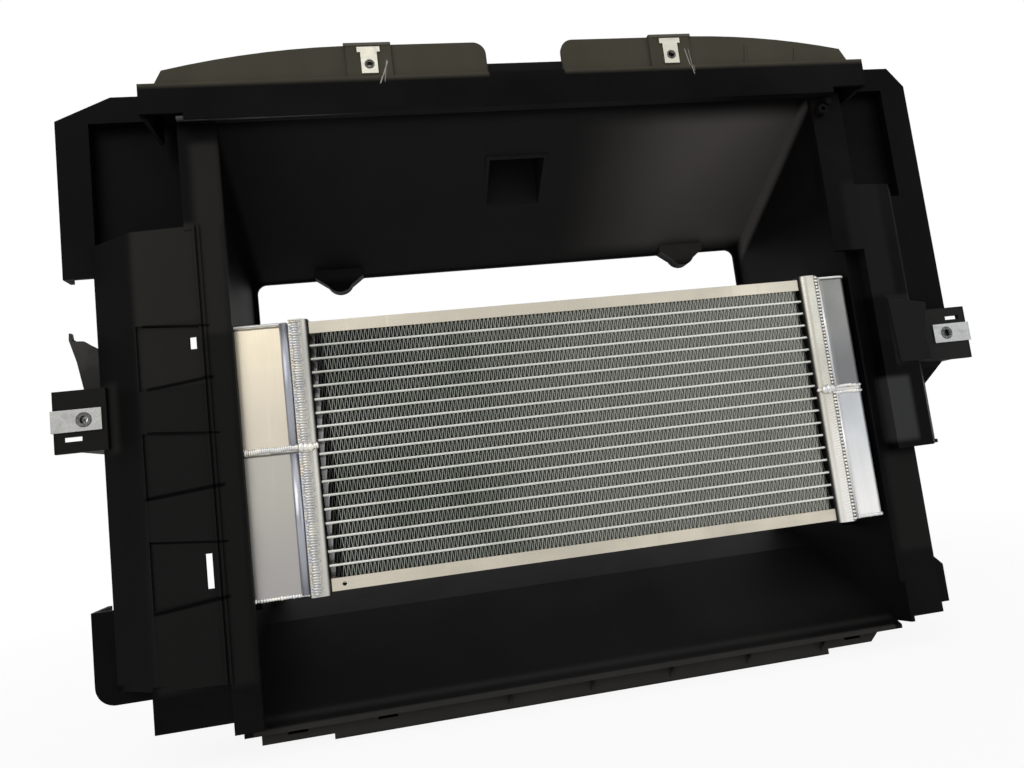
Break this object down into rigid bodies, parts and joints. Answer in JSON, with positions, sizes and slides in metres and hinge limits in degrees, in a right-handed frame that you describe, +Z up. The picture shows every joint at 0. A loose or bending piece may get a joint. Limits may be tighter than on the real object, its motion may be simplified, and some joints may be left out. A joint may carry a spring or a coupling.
{
  "type": "heat exchanger",
  "caption": "Flat tube and folded fin liquid cooler with welded end tanks, screwed into a moulded air duct with brackets, clip nuts and a wide rear opening.",
  "frame": {"origin": "Centre of the footprint on the plane of the lower edges that the part stands on.", "axes": "+Z up, +X to the right seen from the front, +Y backwards along the air flow; the front with the core's face looks to -Y."},
  "size_m": [0.7386, 0.204, 0.508],
  "materials": {
    "duct_plastic": "fine grained, black",
    "fin_foil": "brazed, bare",
    "tube_metal": "brazed, bare",
    "plate_metal": "rolled sheet, bare",
    "tank_metal": "rolled sheet, brushed, welded",
    "spring_steel": "zinc plated, bright",
    "zinc_steel": "zinc plated",
    "rubber": "matt black",
    "foam": "closed cell, matt"
  },
  "bodies": {
    "root": {"baffle_left": "tank_metal", "baffle_right": "tank_metal", "duct_shell": "duct_plastic", "fin_01": "fin_foil", "fin_02": "fin_foil", "fin_03": "fin_foil", "fin_04": "fin_foil", "fin_05": "fin_foil", "fin_06": "fin_foil", "fin_07": "fin_foil", "fin_08": "fin_foil", "fin_09": "fin_foil", "fin_10": "fin_foil", "fin_11": "fin_foil", "fin_12": "fin_foil", "fin_13": "fin_foil", "fin_14": "fin_foil", "fin_15": "fin_foil", "fin_16": "fin_foil", "fin_17": "fin_foil", "fin_18": "fin_foil", "foam_seal_left": "foam", "foam_seal_right": "foam", "header_left": "tank_metal", "header_right": "tank_metal", "isolator_washers": "rubber", "mounting_screws": "zinc_steel", "neck_lower": "tank_metal", "neck_upper": "tank_metal", "side_clip_nut_left": "spring_steel", "side_clip_nut_right": "spring_steel", "side_plate_bottom": "plate_metal", "side_plate_top": "plate_metal", "tank_bungs": "tank_metal", "tank_left_lower": "tank_metal", "tank_left_upper": "tank_metal", "tank_right_lower": "tank_metal", "tank_right_upper": "tank_metal", "top_clip_nut_left": "spring_steel", "top_clip_nut_right": "spring_steel", "tube_01": "tube_metal", "tube_02": "tube_metal", "tube_03": "tube_metal", "tube_04": "tube_metal", "tube_05": "tube_metal", "tube_06": "tube_metal", "tube_07": "tube_metal", "tube_08": "tube_metal", "tube_09": "tube_metal", "tube_10": "tube_metal", "tube_11": "tube_metal", "tube_12": "tube_metal", "tube_13": "tube_metal", "tube_14": "tube_metal", "tube_15": "tube_metal", "tube_16": "tube_metal", "tube_17": "tube_metal"}
  },
  "joints": []
}
